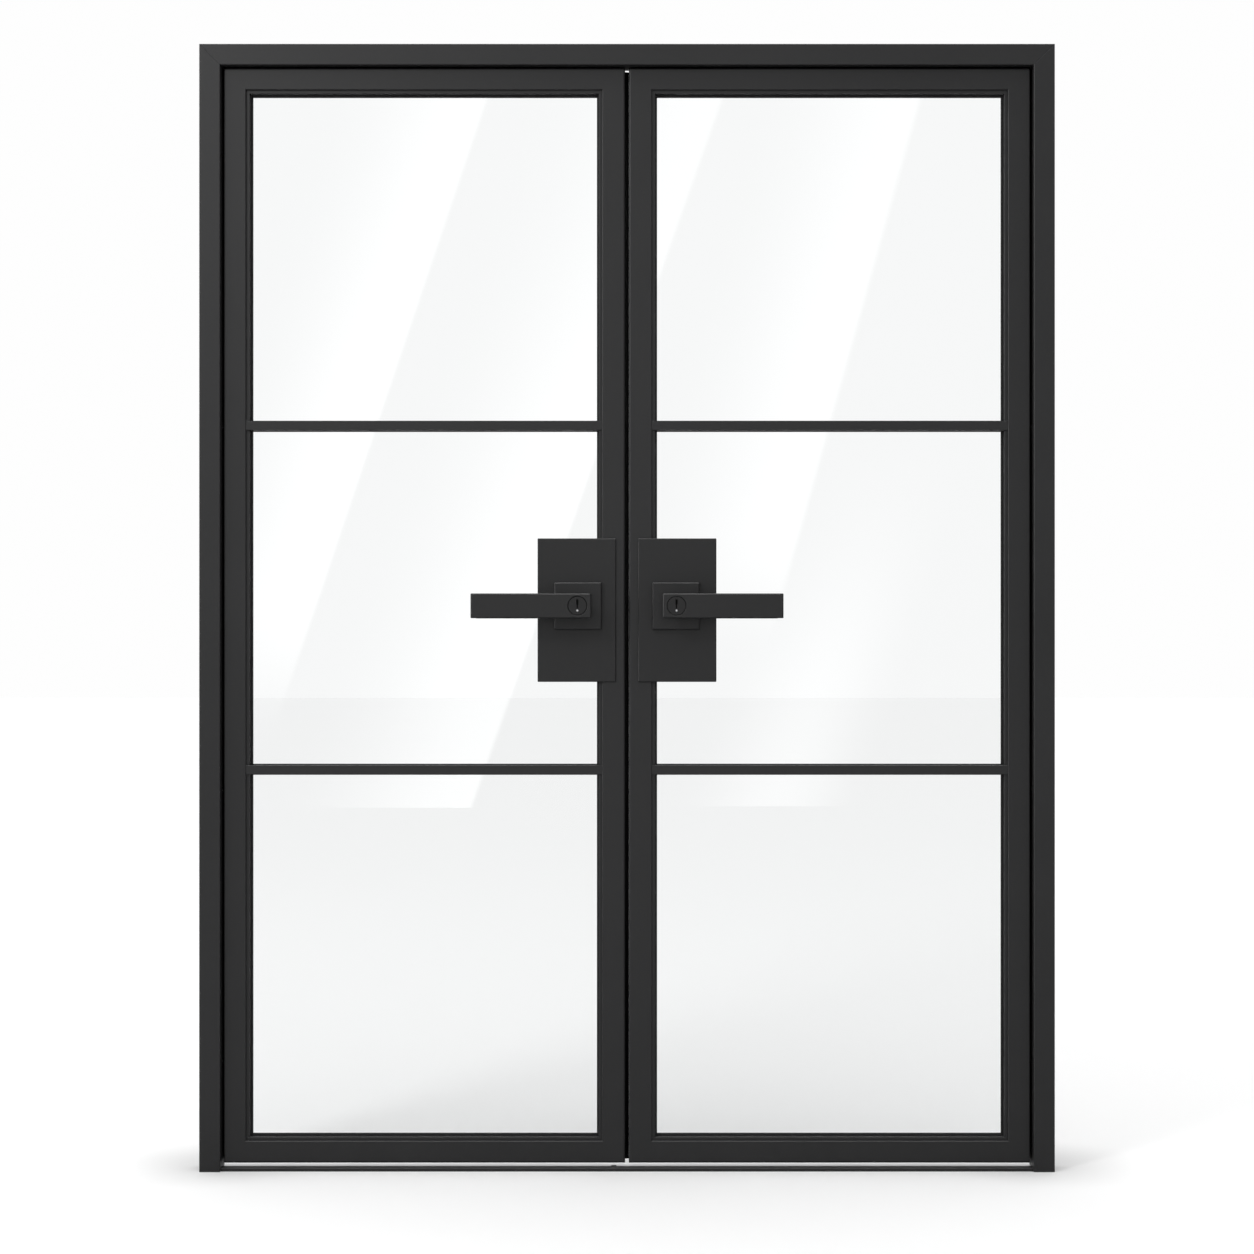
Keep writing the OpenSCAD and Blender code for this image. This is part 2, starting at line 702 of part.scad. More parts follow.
jamb(LEFT);  // jamb_left
jamb(RIGHT);  // jamb_right
head();
corner_cleats();
sill_bar();
threshold_plate();
frame_seals();
hinge_frame_plates(LEFT);  // hinge_frame_plates_left
hinge_frame_plates(RIGHT);  // hinge_frame_plates_right
hinge_leaf_plates(LEFT);  // hinge_leaf_plates_left
hinge_leaf_plates(RIGHT);  // hinge_leaf_plates_right
hinge_pins();
hinge_stile(LEFT);  // hinge_stile_left
meeting_stile(LEFT);  // meeting_stile_left
top_rail(LEFT);  // top_rail_left
bottom_rail(LEFT);  // bottom_rail_left
muntin(LEFT, muntin_upper_z);  // muntin_upper_left
muntin(LEFT, muntin_lower_z);  // muntin_lower_left
glass(LEFT, TOP);  // glass_top_left
glass(LEFT, MIDDLE);  // glass_middle_left
glass(LEFT, BOTTOM);  // glass_bottom_left
gaskets(LEFT);  // gaskets_left
beads(LEFT);  // beads_left
lock_box(LEFT);  // lock_box_left
cover_plate(LEFT, false);  // plate_front_left
cover_plate(LEFT, true);  // plate_rear_left
rose(LEFT, false);  // rose_front_left
rose(LEFT, true);  // rose_rear_left
lever(LEFT, false);  // lever_front_left
lever(LEFT, true);  // lever_rear_left
spindle(LEFT);  // spindle_left
key_plug(LEFT);  // key_plug_left
thumb_turn(LEFT);  // thumb_turn_left
hinge_stile(RIGHT);  // hinge_stile_right
meeting_stile(RIGHT);  // meeting_stile_right
top_rail(RIGHT);  // top_rail_right
bottom_rail(RIGHT);  // bottom_rail_right
muntin(RIGHT, muntin_upper_z);  // muntin_upper_right
muntin(RIGHT, muntin_lower_z);  // muntin_lower_right
glass(RIGHT, TOP);  // glass_top_right
glass(RIGHT, MIDDLE);  // glass_middle_right
glass(RIGHT, BOTTOM);  // glass_bottom_right
gaskets(RIGHT);  // gaskets_right
beads(RIGHT);  // beads_right
lock_box(RIGHT);  // lock_box_right
cover_plate(RIGHT, false);  // plate_front_right
cover_plate(RIGHT, true);  // plate_rear_right
rose(RIGHT, false);  // rose_front_right
rose(RIGHT, true);  // rose_rear_right
lever(RIGHT, false);  // lever_front_right
lever(RIGHT, true);  // lever_rear_right
spindle(RIGHT);  // spindle_right
key_plug(RIGHT);  // key_plug_right
thumb_turn(RIGHT);  // thumb_turn_right
meeting_seal();
latch_bolt();
edge_plate(RIGHT);  // latch_faceplate
edge_plate(LEFT);  // strike_plate
flush_bolt(leaf_z1, 1);  // top_bolt
flush_bolt(leaf_z0, 0);  // bottom_bolt
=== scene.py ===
"""Looks of glazed french doors in their frame: finishes, rounded edges, seals, screws and a plain studio."""

import json
import math

import bmesh
import bpy
import numpy as np
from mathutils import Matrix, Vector


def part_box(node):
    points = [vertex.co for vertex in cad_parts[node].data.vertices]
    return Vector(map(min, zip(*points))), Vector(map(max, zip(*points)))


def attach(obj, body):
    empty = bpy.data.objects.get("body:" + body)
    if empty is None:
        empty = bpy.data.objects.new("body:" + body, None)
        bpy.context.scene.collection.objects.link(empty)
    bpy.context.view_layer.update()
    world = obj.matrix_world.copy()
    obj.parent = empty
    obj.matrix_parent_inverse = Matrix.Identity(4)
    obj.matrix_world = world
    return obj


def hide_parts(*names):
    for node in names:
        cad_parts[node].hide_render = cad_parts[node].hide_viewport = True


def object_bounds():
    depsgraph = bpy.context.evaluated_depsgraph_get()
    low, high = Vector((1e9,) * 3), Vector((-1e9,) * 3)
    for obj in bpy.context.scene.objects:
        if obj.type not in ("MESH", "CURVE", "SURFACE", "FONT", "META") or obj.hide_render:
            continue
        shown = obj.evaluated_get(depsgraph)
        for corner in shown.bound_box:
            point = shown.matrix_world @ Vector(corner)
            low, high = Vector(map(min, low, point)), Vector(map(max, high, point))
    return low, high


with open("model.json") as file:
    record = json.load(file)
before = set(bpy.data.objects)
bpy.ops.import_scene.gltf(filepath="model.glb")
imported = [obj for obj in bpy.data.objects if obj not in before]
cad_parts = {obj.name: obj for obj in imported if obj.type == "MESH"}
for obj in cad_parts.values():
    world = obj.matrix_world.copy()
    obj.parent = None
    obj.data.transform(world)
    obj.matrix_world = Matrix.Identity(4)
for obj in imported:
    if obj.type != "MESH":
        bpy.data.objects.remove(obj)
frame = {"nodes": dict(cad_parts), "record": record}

CAD_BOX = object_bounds()
MM = 0.001
SIDES = ("left", "right")
FACES = ("front", "rear")


def corners(node):
    """The lowest and highest corner of a node, as numpy arrays."""
    low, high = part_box(node)
    return np.array(low), np.array(high)


# ---- shader maths ----


class Value:
    """One value in a shader. Arithmetic on it adds the Math node that works it out."""

    def __init__(self, nodes, socket):
        self.nodes = nodes
        self.socket = socket

    def maths(self, operation, *others):
        return self.nodes.add("ShaderNodeMath", {"operation": operation}, dict(enumerate((self, *others))))

    def __add__(self, other):
        return self.maths("ADD", other)

    def __sub__(self, other):
        return self.maths("SUBTRACT", other)

    def __rsub__(self, other):
        return self.nodes.add("ShaderNodeMath", {"operation": "SUBTRACT"}, {0: other, 1: self})

    def __mul__(self, other):
        return self.maths("MULTIPLY", other)

    def __truediv__(self, other):
        return self.maths("DIVIDE", other)

    __radd__ = __add__
    __rmul__ = __mul__

    def __abs__(self):
        return self.maths("ABSOLUTE")

    def power(self, exponent):
        return self.maths("POWER", exponent)

    def ramp(self, low, high):
        """0 below low, 1 above high, and a straight line in between."""
        return self.nodes.add("ShaderNodeMapRange", None, {0: self, 1: low, 2: high})

    def between(self, low, high):
        """0 below low, 1 above high, and a smooth step in between."""
        settings = {"interpolation_type": "SMOOTHSTEP"}
        return self.nodes.add("ShaderNodeMapRange", settings, {0: self, 1: low, 2: high})


class Nodes:
    """A node tree with one method that adds any node."""

    def __init__(self, tree):
        self.tree = tree
        tree.nodes.clear()

    def add(self, kind, settings=None, inputs=None, output=0):
        made = self.tree.nodes.new(kind)
        for key, value in (settings or {}).items():
            setattr(made, key, value)
        for key, value in (inputs or {}).items():
            if isinstance(value, Value):
                self.tree.links.new(value.socket, made.inputs[key])
            else:
                made.inputs[key].default_value = value
        return Value(self, made.outputs[output]) if made.outputs else None

    def place(self):
        """Object coordinates: metres in the doors' own frame."""
        return self.add("ShaderNodeTexCoord", output="Object")

    def axes(self, place):
        x = self.add("ShaderNodeSeparateXYZ", None, {0: place})
        return [x, *(Value(self, socket) for socket in x.socket.node.outputs[1:])]

    def noise(self, place, scale, detail=2.0, stretch=(1, 1, 1)):
        """Noise from 0 to 1. scale is in features a metre, before the stretch."""
        mapped = self.add("ShaderNodeMapping", None, {"Vector": place, "Scale": stretch})
        sizes = {"Vector": mapped, "Scale": scale, "Detail": detail}
        return self.add("ShaderNodeTexNoise", None, sizes)

    def blend(self, factor, dark, light):
        """A colour between two others."""
        colours = {0: factor, 6: (*dark, 1), 7: (*light, 1)}
        return self.add("ShaderNodeMix", {"data_type": "RGBA"}, colours, output=2)

    def bump(self, height_mm):
        """A surface raised by height_mm."""
        return self.add("ShaderNodeBump", None, {"Strength": 1.0, "Distance": MM, "Height": height_mm})


def finish(name, build):
    """A material: build gets its nodes and returns the inputs of its Principled shader."""
    material = bpy.data.materials.new(name)
    material.use_nodes = True
    nodes = Nodes(material.node_tree)
    shader = nodes.add("ShaderNodeBsdfPrincipled", None, build(nodes))
    nodes.add("ShaderNodeOutputMaterial", None, {"Surface": shader})
    return material


# ---- finishes ----

SEAM_REACH = 0.9 * MM
SEAM_DEPTH_MM = 0.22
# Depth of a rolled edge, as a share of its reach
EDGE_ROLL = 0.75
# The steel pin in a key plug: its drop below the plug's middle, its radius and where its soft edge ends
PIN_DROP = 8.7 * MM
PIN_R = 1.5 * MM
PIN_EDGE_R = 2.0 * MM
PIN_COLOUR = (0.72, 0.72, 0.73, 1)
# How far behind a plug's face its painted shade begins and is full
PAINTED_SHADE_START = 0.35 * MM
PAINTED_SHADE_FULL = 0.9 * MM


def mitre_seam(nodes, place):
    """0 on the joint of jamb and head, along the diagonal through the outer corner, and 1 away from it."""
    _, high = corners("head")
    x, _, z = nodes.axes(place)
    off_corner = (abs(x) - float(high[0])) - (z - float(high[2]))
    return abs(off_corner).between(0.0, 2 * SEAM_REACH)


def eased_edges(nodes, place, first, last, reach):
    """Height in mm of a face with rolled edges, for the rectangle round two nodes of the left side."""
    (low, _), (_, high) = corners(first), corners(last)
    x, _, z = nodes.axes(place)
    across = abs(x)
    gaps = (
        across + float(high[0]), 0 - float(low[0]) - across,
        z - float(low[2]), float(high[2]) - z,
    )
    height = 0.0
    for gap in gaps:
        roll = 1 - gap.ramp(0.0, reach)
        height = roll * roll * (-EDGE_ROLL * reach / MM) + height
    return height


def powder_coat(name, dark, light, roughness, peel_mm, seam=False, edges=None):
    """Matt black powder coat: fine orange peel and a slow drift of shade and gloss."""

    def build(nodes):
        place = nodes.place()
        drift = nodes.noise(place, 7, 3)
        mottle = nodes.noise(place, 130, 3)
        peel = nodes.noise(place, 620, 2)
        grain = nodes.noise(place, 2600, 1)
        height = peel * peel_mm + grain * (0.35 * peel_mm) + mottle * (1.6 * peel_mm)
        shade = drift * 0.7 + mottle * 0.3
        if edges:
            height = height + eased_edges(nodes, place, *edges)
        if seam:
            joint = mitre_seam(nodes, place)
            height = height + joint * SEAM_DEPTH_MM
            shade = shade * (joint * 0.75 + 0.25)
        return {
            "Base Color": nodes.blend(shade, dark, light),
            "Roughness": roughness - 0.03 + drift * 0.05 + grain * 0.06,
            "Normal": nodes.bump(height),
            "Specular IOR Level": 0.42,
        }

    return finish(name, build)


def plug_coat(nodes):
    """A key plug's face: black coat, darker inside the keyway and its ring as painted shade, with one bare
    steel pin.
    """
    low, high = corners("key_plug_left")
    middle = (low + high) / 2
    place = nodes.place()
    x, y, z = nodes.axes(place)
    across = abs(x) - abs(float(middle[0]))
    up = z - (float(middle[2]) - PIN_DROP)
    on_pin = 1 - (across * across + up * up).power(0.5).between(PIN_R, PIN_EDGE_R)
    recess_painted_shade = y.between(float(low[1]) + PAINTED_SHADE_START, float(low[1]) + PAINTED_SHADE_FULL)
    # Painted shade: the coat's colour goes from its own black to near black deeper inside the keyway and its
    # ring
    coat = nodes.blend(recess_painted_shade, (0.012, 0.012, 0.0125), (0.001, 0.001, 0.001))
    grain = nodes.noise(place, 620, 2)
    colours = {0: on_pin, 6: coat, 7: PIN_COLOUR}
    return {
        "Base Color": nodes.add("ShaderNodeMix", {"data_type": "RGBA"}, colours, output=2),
        "Metallic": on_pin,
        "Roughness": 0.4 + recess_painted_shade * 0.5 + grain * 0.05,
        "Normal": nodes.bump(grain * 0.006 + on_pin * 0.25),
        "Specular IOR Level": 0.42,
    }


def brushed(name, dark, light, roughness, along):
    """Bare metal with fine lines along one axis."""
    stretch = [1.0, 1.0, 1.0]
    stretch["XYZ".index(along)] = 0.015

    def build(nodes):
        place = nodes.place()
        lines = nodes.noise(place, 2200, 3, stretch)
        cloud = nodes.noise(place, 25, 3)
        return {
            "Base Color": nodes.blend(cloud * 0.5 + lines * 0.5, dark, light),
            "Metallic": 1.0,
            "Roughness": roughness + lines * 0.14 - cloud * 0.05,
            "Normal": nodes.bump(lines * 0.012),
        }

    return finish(name, build)


def seal_rubber(nodes):
    """Extruded black rubber: dull, with a faint bloom."""
    place = nodes.place()
    bloom = nodes.noise(place, 45, 4)
    pores = nodes.noise(place, 1800, 2)
    return {
        "Base Color": nodes.blend(bloom, (0.006, 0.006, 0.006), (0.013, 0.013, 0.014)),
        "Roughness": bloom * 0.14 + 0.66,
        "Normal": nodes.bump(pores * 0.02),
        "Specular IOR Level": 0.3,
    }


def clear_glass(nodes):
    """Float glass with the faint waviness of a large pane."""
    place = nodes.place()
    wave = nodes.noise(place, 1.7, 1)
    return {
        "Base Color": (0.966, 0.975, 0.975, 1),
        "Roughness": 0.0,
        "IOR": 1.5,
        "Transmission Weight": 1.0,
        "Normal": nodes.add("ShaderNodeBump", None, {"Strength": 1.0, "Distance": 0.02 * MM, "Height": wave}),
    }


# Darkest and lightest shade, roughness and, for a coat, the height of its peel in mm
FRAME_LOOK = ((0.0095, 0.0095, 0.01), (0.0145, 0.0145, 0.0152), 0.46, 0.012)
HARDWARE_LOOK = ((0.008, 0.008, 0.0085), (0.012, 0.012, 0.0125), 0.42, 0.006)
STEEL_LOOK = ((0.36, 0.36, 0.37), (0.52, 0.52, 0.53), 0.26)
COAT = powder_coat("powder_coat", *FRAME_LOOK)
MITRED_COAT = powder_coat("mitred_powder_coat", *FRAME_LOOK, seam=True)
LEAF_COAT = powder_coat(
    "leaf_powder_coat", *FRAME_LOOK, edges=("hinge_stile_left", "meeting_stile_left", 3.6 * MM)
)
HARDWARE = powder_coat("hardware_coat", *HARDWARE_LOOK)
PLATE_COAT, ROSE_COAT, LEVER_COAT = (
    powder_coat(f"{kind}_coat", *HARDWARE_LOOK, edges=(f"{kind}_front_left", f"{kind}_front_left", roll))
    for kind, roll in (("plate", 1.7 * MM), ("rose", 2.4 * MM), ("lever", 2.4 * MM))
)
STEEL_X = brushed("brushed_steel_level", *STEEL_LOOK, "X")
STEEL_Z = brushed("brushed_steel_upright", *STEEL_LOOK, "Z")
SILVER = brushed("silver_sill", (0.58, 0.58, 0.59), (0.72, 0.72, 0.73), 0.34, "X")
RUBBER = finish("seal_rubber", seal_rubber)
PLUG = finish("key_plug_coat", plug_coat)
GLASS = finish("clear_glass", clear_glass)

# Each finish with the starts of the names of the nodes that wear it
WEARERS = (
    (MITRED_COAT, ("jamb", "head")),
    (LEAF_COAT, ("hinge_stile", "meeting_stile", "top_rail", "bottom_rail")),
    (PLATE_COAT, ("plate",)),
    (ROSE_COAT, ("rose",)),
    (LEVER_COAT, ("lever",)),
    (HARDWARE, ("thumb_turn",)),
    (PLUG, ("key_plug",)),
    (STEEL_X, ("spindle", "latch_bolt", "corner_cleats")),
    (STEEL_Z, ("hinge_pins", "latch_faceplate", "strike_plate", "top_bolt", "bottom_bolt")),
    (SILVER, ("threshold_plate",)),
    (RUBBER, ("gaskets", "frame_seals", "meeting_seal")),
    (GLASS, ("glass",)),
)


def finish_of(node):
    for material, starts in WEARERS:
        if node.startswith(starts):
            return material
    return COAT


def wear(piece, material):
    piece.data.materials.clear()
    piece.data.materials.append(material)


# ---- making pieces ----


def body_of(node):
    bodies = frame["record"]["behaviour"]["bodies"]
    return next(body for body, members in bodies.items() if node in members)


def add_piece(name, mesh, body, material):
    piece = bpy.data.objects.new(name, mesh)
    bpy.context.scene.collection.objects.link(piece)
    wear(piece, material)
    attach(piece, body)
    return piece


def mesh_from(name, points, faces, smooth=True):
    mesh = bpy.data.meshes.new(name)
    mesh.from_pydata(points.reshape(-1, 3).tolist(), [], faces)
    mesh.polygons.foreach_set("use_smooth", np.full(len(faces), smooth))
    mesh.update()
    return mesh


def soften(piece, radius, angle=40):
    """Rounds every edge sharper than the angle."""
    bevel = piece.modifiers.new("rounded_edges", "BEVEL")
    bevel.width = radius
    bevel.segments = 3
    bevel.limit_method = "ANGLE"
    bevel.angle_limit = math.radians(angle)
    level = piece.modifiers.new("level_faces", "WEIGHTED_NORMAL")
    level.weight = 100


def rounded_copy(node, radius):
    """A node's own shape with its edges rounded, standing for the node."""
    mesh = frame["nodes"][node].data.copy()
    mesh.name = node + "_rounded"
    solid = bmesh.new()
    solid.from_mesh(mesh)
    bmesh.ops.remove_doubles(solid, verts=solid.verts, dist=1e-6)
    bmesh.ops.dissolve_limit(solid, angle_limit=math.radians(1), verts=solid.verts, edges=solid.edges)
    for face in solid.faces:
        face.smooth = True
    solid.to_mesh(mesh)
    solid.free()
    piece = add_piece(node + "_rounded", mesh, body_of(node), finish_of(node))
    soften(piece, radius)
    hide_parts(node)
    return piece


def prism(outline, start, end, across, up):
    """Points and faces of a closed outline carried straight from start to end.

    A point of the outline (a, b) lies at start + a * across + b * up, and again at end.
    """
    n = len(outline)
    ring = outline[:, :1] * np.array(across) + outline[:, 1:] * np.array(up)
    points = np.stack([ring + np.array(start), ring + np.array(end)])
    sides = [(i, (i + 1) % n, n + (i + 1) % n, n + i) for i in range(n)]
    return points.reshape(-1, 3), [*sides, tuple(range(n - 1, -1, -1)), tuple(range(n, 2 * n))]


def joined(parts):
    """Several point and face lists as one."""
    points, faces, count = [], [], 0
    for p, f in parts:
        points.append(p)
        faces += [tuple(i + count for i in face) for face in f]
        count += len(p)
    return np.concatenate(points), faces


def facing_out(mesh):
    """Turns every face outwards."""
    solid = bmesh.new()
    solid.from_mesh(mesh)
    bmesh.ops.recalc_face_normals(solid, faces=solid.faces)
    solid.to_mesh(mesh)
    solid.free()
    return mesh


# ---- finishes and rounded edges on the pieces ----

for name, piece in frame["nodes"].items():
    wear(piece, finish_of(name))

PLATE_EDGE = 0.5 * MM
ROSE_EDGE = 0.9 * MM
LEVER_EDGE = 1.1 * MM
PLUG_EDGE = 0.25 * MM
HINGE_EDGE = 0.6 * MM
for side in SIDES:
    for face in FACES:
        rounded_copy(f"plate_{face}_{side}", PLATE_EDGE)
        rounded_copy(f"rose_{face}_{side}", ROSE_EDGE)
        rounded_copy(f"lever_{face}_{side}", LEVER_EDGE)
    rounded_copy(f"key_plug_{side}", PLUG_EDGE)
    rounded_copy(f"thumb_turn_{side}", PLUG_EDGE)
    rounded_copy(f"hinge_frame_plates_{side}", HINGE_EDGE)
    rounded_copy(f"hinge_leaf_plates_{side}", HINGE_EDGE)
rounded_copy("hinge_pins", HINGE_EDGE)

# ---- seals ----

ARC = np.linspace(0, np.pi, 17)
FRAME_SEAL_W = 8 * MM
FRAME_SEAL_BASE = 1.4 * MM
CROWN_INSET = 0.5 * MM
BUTT_GAP = 0.2 * MM
LIP_T = 0.7 * MM
LIP_GAP = 0.05 * MM
LIP_RISE = 1.2 * MM
# The point of the bulb's outline where the lip starts, and the gap from the seal's ends to the leaf's
LIP_ROOT = 15
END_GAP = 1 * MM


def bulb(width, height, base):
    """Outline of a frame seal: a flat base with a half-round crown, as (across, up)."""
    crown = np.stack([-np.cos(ARC) * (width / 2 - CROWN_INSET), base + np.sin(ARC) * (height - base)], 1)
    half = width / 2
    return np.concatenate([[[half, 0], [-half, 0], [-half, base]], crown, [[half, base]]])[::-1]


def make_frame_seals():
    """Three bulb seals on the rear step of the frame, in the space of the plain strips."""
    low, high = corners("frame_seals")
    width = FRAME_SEAL_W
    outline = bulb(width, high[1] - low[1], FRAME_SEAL_BASE)
    back = (0, 1, 0)
    parts = []
    for sign in (-1, 1):
        x = sign * (high[0] - width / 2)
        start, end = [x, low[1], low[2]], [x, low[1], high[2] - width - BUTT_GAP]
        parts.append(prism(outline, start, end, (1, 0, 0), back))
    z = high[2] - width / 2
    parts.append(prism(outline, [low[0], low[1], z], [high[0], low[1], z], (0, 0, 1), back))
    mesh = facing_out(mesh_from("frame_bulb_seals", *joined(parts)))
    piece = add_piece("frame_bulb_seals", mesh, "frame", RUBBER)
    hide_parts("frame_seals")


def make_meeting_seal():
    """The bulb seal on the left leaf's meeting edge, with a thin lip along the other leaf's edge."""
    low, high = corners("meeting_seal")
    other_edge = corners("meeting_stile_right")[0][0]
    radius = (high[1] - low[1]) / 2
    angles = np.linspace(np.pi / 2, -np.pi / 2, 25)
    centre = np.array([high[0] - radius, low[1] + radius])
    round_end = centre + radius * np.stack([np.cos(angles), np.sin(angles)], 1)
    tip_x = other_edge - LIP_GAP
    tip_y = round_end[LIP_ROOT][1] + LIP_RISE
    lip = np.array([[tip_x, tip_y], [tip_x, tip_y - LIP_T]])
    base = np.array([[low[0], low[1]], [low[0], high[1]]])
    outline = np.concatenate([base, round_end[:LIP_ROOT], lip, round_end[LIP_ROOT + 2:]])
    leaf_low, leaf_high = corners("meeting_stile_left")
    start, end = (0, 0, leaf_low[2] + END_GAP), (0, 0, leaf_high[2] - END_GAP)
    mesh = facing_out(mesh_from("meeting_lip_seal", *prism(outline, start, end, (1, 0, 0), (0, 1, 0))))
    piece = add_piece("meeting_lip_seal", mesh, "leaf_left", RUBBER)
    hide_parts("meeting_seal")


make_frame_seals()
make_meeting_seal()

# ---- hinge screws ----

SCREW_R = 4.2 * MM
SOCKET_R = 1.9 * MM
SCREW_PROUD = 0.15 * MM
HINGE_H = 100 * MM
HINGE_PLATE_T = 3 * MM
HINGE_PIN_R = 6 * MM
TURN = np.linspace(0, 2 * np.pi, 49)[:-1]
# Places of the screws from the middle of a hinge's pin: outward, and up
PLATE_SCREWS = {
    "leaf": [(-dx * MM, dz * MM) for dx in (15, 31) for dz in (-36, 36)],
    "frame": [(15.5 * MM, dz * MM) for dz in (-38, 0, 38)],
}


def screw_head(x, y, z):
    """A countersunk head with a six-sided socket, facing +Y at the point (x, y, z).

    Each ring is a radius for every angle and a height: the socket's floor and wall, the face, its edge
    and the cone.
    """
    hexagon = SOCKET_R * np.cos(np.pi / 6) / np.cos((TURN % (np.pi / 3)) - np.pi / 6)
    round_ring = np.ones_like(TURN)
    rings = [
        (hexagon * 0.02, -1.6 * MM), (hexagon * 0.97, -1.5 * MM), (hexagon, -0.1 * MM), (hexagon * 1.06, 0.0),
        (round_ring * (SCREW_R - 0.35 * MM), 0.0), (round_ring * (SCREW_R - 0.05 * MM), -0.12 * MM),
        (round_ring * SCREW_R, -0.4 * MM), (round_ring * SCREW_R * 0.55, -2.4 * MM),
    ]
    n = len(TURN)
    points = np.stack([
        np.stack([x + r * np.cos(TURN), np.full(n, y + h), z + r * np.sin(TURN)], 1) for r, h in rings
    ]).reshape(-1, 3)
    faces = [
        (k * n + i, k * n + (i + 1) % n, (k + 1) * n + (i + 1) % n, (k + 1) * n + i)
        for k in range(len(rings) - 1) for i in range(n)
    ]
    last = (len(rings) - 1) * n
    return points, [*faces, tuple(range(n)), tuple(range(last + n - 1, last - 1, -1))]


def make_screws(side):
    """Four screws in each leaf plate and three in each frame plate of one side's hinges."""
    sign = -1 if side == "left" else 1
    axis_x = sign * (corners("hinge_pins")[1][0] - HINGE_PIN_R)
    for kind, body in (("leaf", "leaf_" + side), ("frame", "frame")):
        low, high = corners(f"hinge_{kind}_plates_{side}")
        face_y = low[1] + HINGE_PLATE_T + SCREW_PROUD
        first, last = low[2] + HINGE_H / 2, high[2] - HINGE_H / 2
        heads = [
            screw_head(axis_x + sign * dx, face_y, centre + dz)
            for centre in (first, (first + last) / 2, last) for dx, dz in PLATE_SCREWS[kind]
        ]
        name = f"hinge_screws_{kind}_{side}"
        mesh = facing_out(mesh_from(name, *joined(heads), smooth=False))
        piece = add_piece(name, mesh, body, HARDWARE)


for side in SIDES:
    make_screws(side)

# ---- studio ----

EYE = (0.0, -4.537, 1.0)
# From the eye to the glass, and from the glass back to the first light board
GLASS_DISTANCE = 4.534
BOARD_DISTANCE = 9.0
BOARD_STEP = 0.05
# Brightness of the room that reflections see, and of the patches of light at its left and overhead
ROOM_LIGHT = 0.21
SIDE_LIGHT = 6.5
TOP_LIGHT = 7.5
FLOOR_REACH = 30.0
FLOOR_PALE = 0.96
# Painted shade on the floor round the jamb feet: its centre's place in depth, its reach and its strength
FOOT_Y = 30 * MM
FOOT_SHADE_REACH = 0.23
FOOT_SHADE = 0.21
# How much darker the floor's colour is painted where it is seen in reflections and through glass
FLOOR_PAINTED_DIMMING_REFLECTED = 0.62
FLOOR_PAINTED_DIMMING_THROUGH_GLASS = 0.1
LENS = 70.43
# Streaks as seen in the glass: the sharp edge's top and foot (x, z), the band's width to the left of it and
# how soft that edge is, in metres on the glass, the brightness, and the part of it lost towards the top
STREAKS = (
    ((-0.245, 2.0), (-0.660, 0.77), 0.32, 0.012, 2.6, 0.2),
    ((0.190, 2.0), (-0.515, 0.01), 0.40, 0.012, 2.8, 0.4),
    ((0.558, 2.0), (0.260, 0.93), 0.34, 0.016, 2.3, 0.2),
    ((0.702, 1.4), (0.200, 0.00), 0.38, 0.16, 1.9, 1.0),
)


def board_material(edge, brightness, top_loss):
    """Light that is sharp at one edge, u = 1, and dies away towards the other, and at both ends."""
    material = bpy.data.materials.new("streak_board")
    material.use_nodes = True
    nodes = Nodes(material.node_tree)
    uv = nodes.add("ShaderNodeTexCoord", output="UV")
    u, v, _ = nodes.axes(uv)
    rise = u.between(0.0, 1.0 - edge).power(1.3)
    drop = 1 - u.between(1.0 - edge, 1.0)
    ends = v.between(0.0, 0.25) * (1 - v.between(0.5, 1.0) * top_loss)
    strength = rise * drop * ends * brightness
    glow = nodes.add("ShaderNodeEmission", None, {"Color": (1, 1, 1, 1), "Strength": strength})
    dark = nodes.add("ShaderNodeBsdfTransparent")
    both = nodes.add("ShaderNodeAddShader", None, {0: glow, 1: dark})
    nodes.add("ShaderNodeOutputMaterial", None, {"Surface": both})
    return material


def make_board(index, top, foot, width, edge, brightness, top_loss):
    """A slanted light board behind the camera, seen only in reflections."""
    scale = (GLASS_DISTANCE + BOARD_DISTANCE) / GLASS_DISTANCE
    y = -BOARD_DISTANCE - BOARD_STEP * index
    spots = [(foot[0] - width, foot[1]), foot, top, (top[0] - width, top[1])]
    points = np.array([[scale * x, y, EYE[2] + scale * (z - EYE[2])] for x, z in spots])
    mesh = mesh_from(f"streak_board_{index}", points, [(0, 1, 2, 3)])
    layer = mesh.uv_layers.new(name="board")
    layer.data.foreach_set("uv", [0, 0, 1, 0, 1, 1, 0, 1])
    mesh.materials.append(board_material(edge / width, brightness, top_loss))
    board = bpy.data.objects.new(mesh.name, mesh)
    bpy.context.scene.collection.objects.link(board)
    board.visible_camera = False
    board.visible_diffuse = False
    board.visible_transmission = False
    board.visible_shadow = False


def in_reflection(nodes):
    """1 for light met by reflection, 0 for what is seen directly or through glass."""
    in_gloss = nodes.add("ShaderNodeLightPath", output="Is Glossy Ray")
    through_glass = nodes.add("ShaderNodeLightPath", output="Is Transmission Ray")
    return in_gloss * (1 - through_glass)


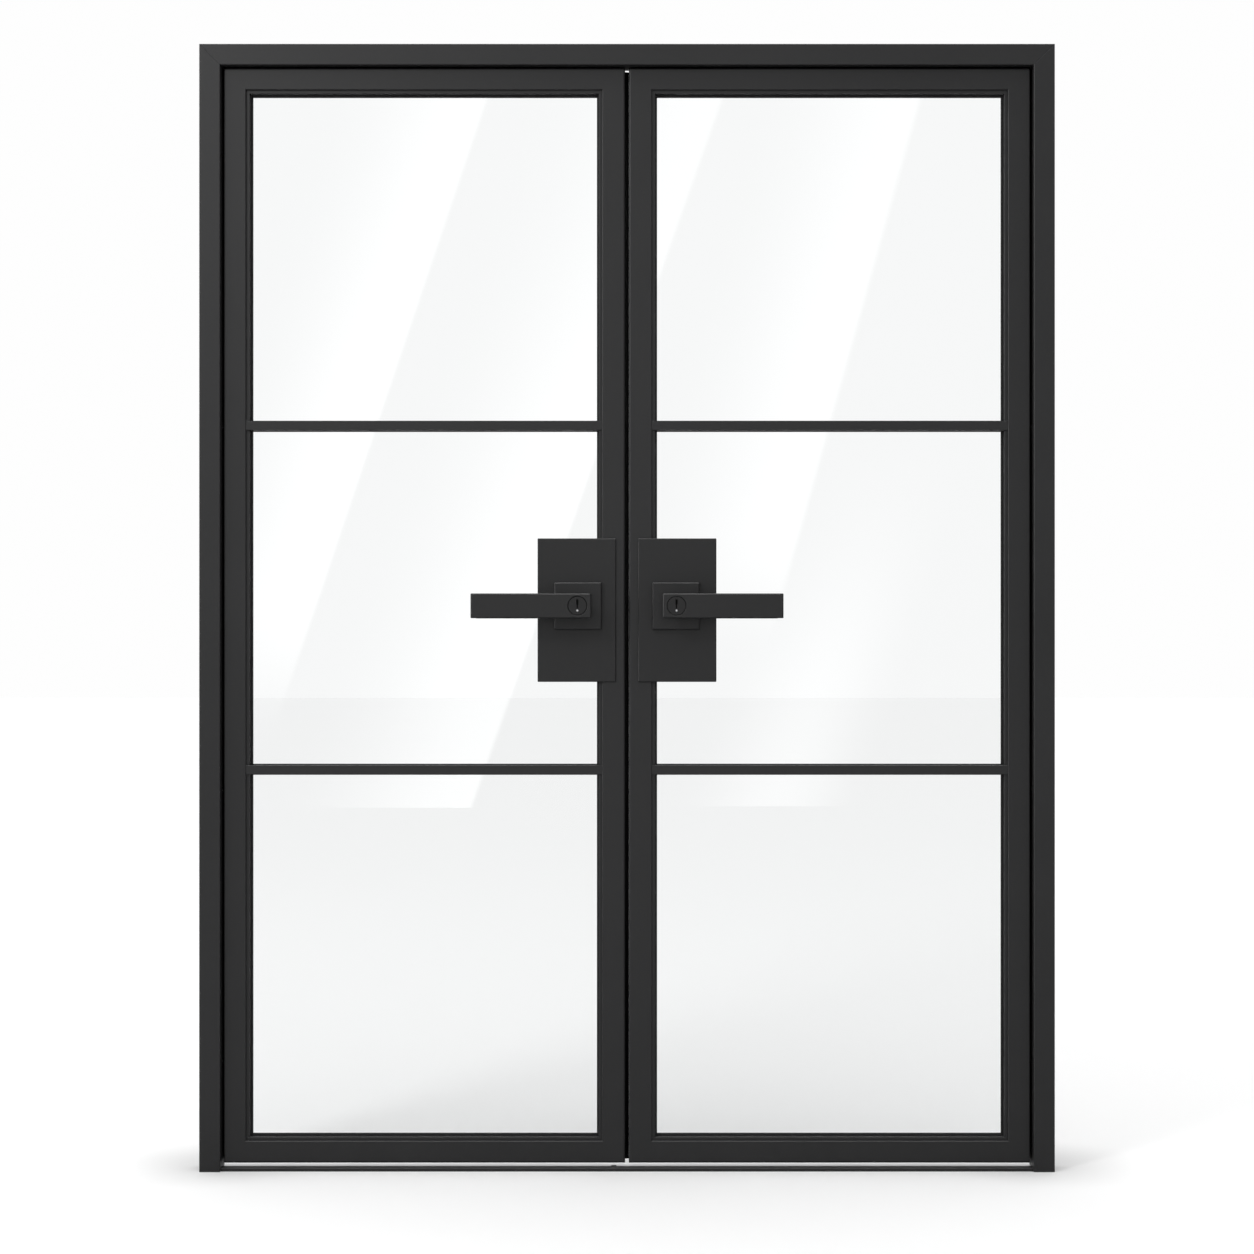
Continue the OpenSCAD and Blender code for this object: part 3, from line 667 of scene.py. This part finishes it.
def make_world():
    """White to the eye. Reflections see a room that is darker in front, on the right and low down."""
    world = bpy.data.worlds.new("studio")
    bpy.context.scene.world = world
    world.use_nodes = True
    nodes = Nodes(world.node_tree)
    direction = nodes.add("ShaderNodeTexCoord", output="Generated")
    x, y, z = nodes.axes(direction)
    room = ROOM_LIGHT + y.between(-0.55, 0.35) * 0.6 + z.between(-0.35, 0.75) * 0.4
    room = room - x.between(-0.9, 0.9) * 0.2
    from_side = (0 - x).between(0.78, 0.96) * SIDE_LIGHT
    from_above = z.between(0.78, 0.95) * TOP_LIGHT
    room = room + from_side + from_above
    reflected = in_reflection(nodes)
    on_floor = nodes.add("ShaderNodeLightPath", output="Is Diffuse Ray")
    strength = reflected * room + (1 - reflected) * (on_floor * 0.1 + 0.99)
    sky = nodes.add("ShaderNodeBackground", None, {"Color": (1, 1, 1, 1), "Strength": strength})
    nodes.add("ShaderNodeOutputWorld", None, {"Surface": sky})


def add_lamp(name, place, aim, size, power):
    """A rectangular lamp turned to shine at a point."""
    lamp = bpy.data.lights.new(name, "AREA")
    lamp.shape = "RECTANGLE"
    lamp.size, lamp.size_y = size
    lamp.energy = power
    holder = bpy.data.objects.new(name, lamp)
    bpy.context.scene.collection.objects.link(holder)
    holder.location = place
    facing = Vector(aim) - Vector(place)
    holder.rotation_euler = facing.to_track_quat("-Z", "Y").to_euler()
    holder.visible_camera = False


def make_floor():
    """A pale matt floor, wide enough to run out of sight, with painted shade round the jamb feet and painted
    darkening where it is seen in reflections or through glass.
    """
    reach = FLOOR_REACH
    foot_x = float(CAD_BOX[1][0])
    points = np.array([[-reach, -reach, 0], [reach, -reach, 0], [reach, reach, 0], [-reach, reach, 0]])
    mesh = mesh_from("studio_floor", points, [(0, 1, 2, 3)])

    def build(nodes):
        x, y, _ = nodes.axes(nodes.place())
        beside = abs(x) - foot_x
        behind = y - FOOT_Y
        from_foot = (beside * beside + behind * behind).power(0.5)
        # Painted shadow: the floor's colour darkens towards the jamb feet
        pale = FLOOR_PALE - (1 - from_foot.between(0.0, FOOT_SHADE_REACH)) * FOOT_SHADE
        through_glass = nodes.add("ShaderNodeLightPath", output="Is Transmission Ray")
        # Painted shade: the floor's colour is darker where it is met in reflections or through glass
        seen = 1 - in_reflection(nodes) * FLOOR_PAINTED_DIMMING_REFLECTED - through_glass * FLOOR_PAINTED_DIMMING_THROUGH_GLASS
        return {
            "Base Color": nodes.blend(pale * seen, (0, 0, 0), (1, 1, 1)),
            "Roughness": 0.9,
            "Specular IOR Level": 0.0,
        }

    mesh.materials.append(finish("studio_floor", build))
    floor = bpy.data.objects.new("studio_floor", mesh)
    bpy.context.scene.collection.objects.link(floor)


def make_camera():
    """A level camera in front of the meeting line."""
    lens = bpy.data.cameras.new("eye")
    lens.lens = LENS
    lens.sensor_width = 36.0
    lens.clip_end = 200.0
    camera = bpy.data.objects.new("eye", lens)
    bpy.context.scene.collection.objects.link(camera)
    camera.location = EYE
    camera.rotation_euler = (math.pi / 2, 0, 0)
    bpy.context.scene.camera = camera


make_camera()
make_world()
make_floor()
for index, streak in enumerate(STREAKS):
    make_board(index, *streak)
add_lamp("key", (-2.6, -3.6, 3.6), (-0.2, 0, 1.3), (1.0, 1.0), 60)
bpy.context.scene.view_settings.view_transform = "Standard"
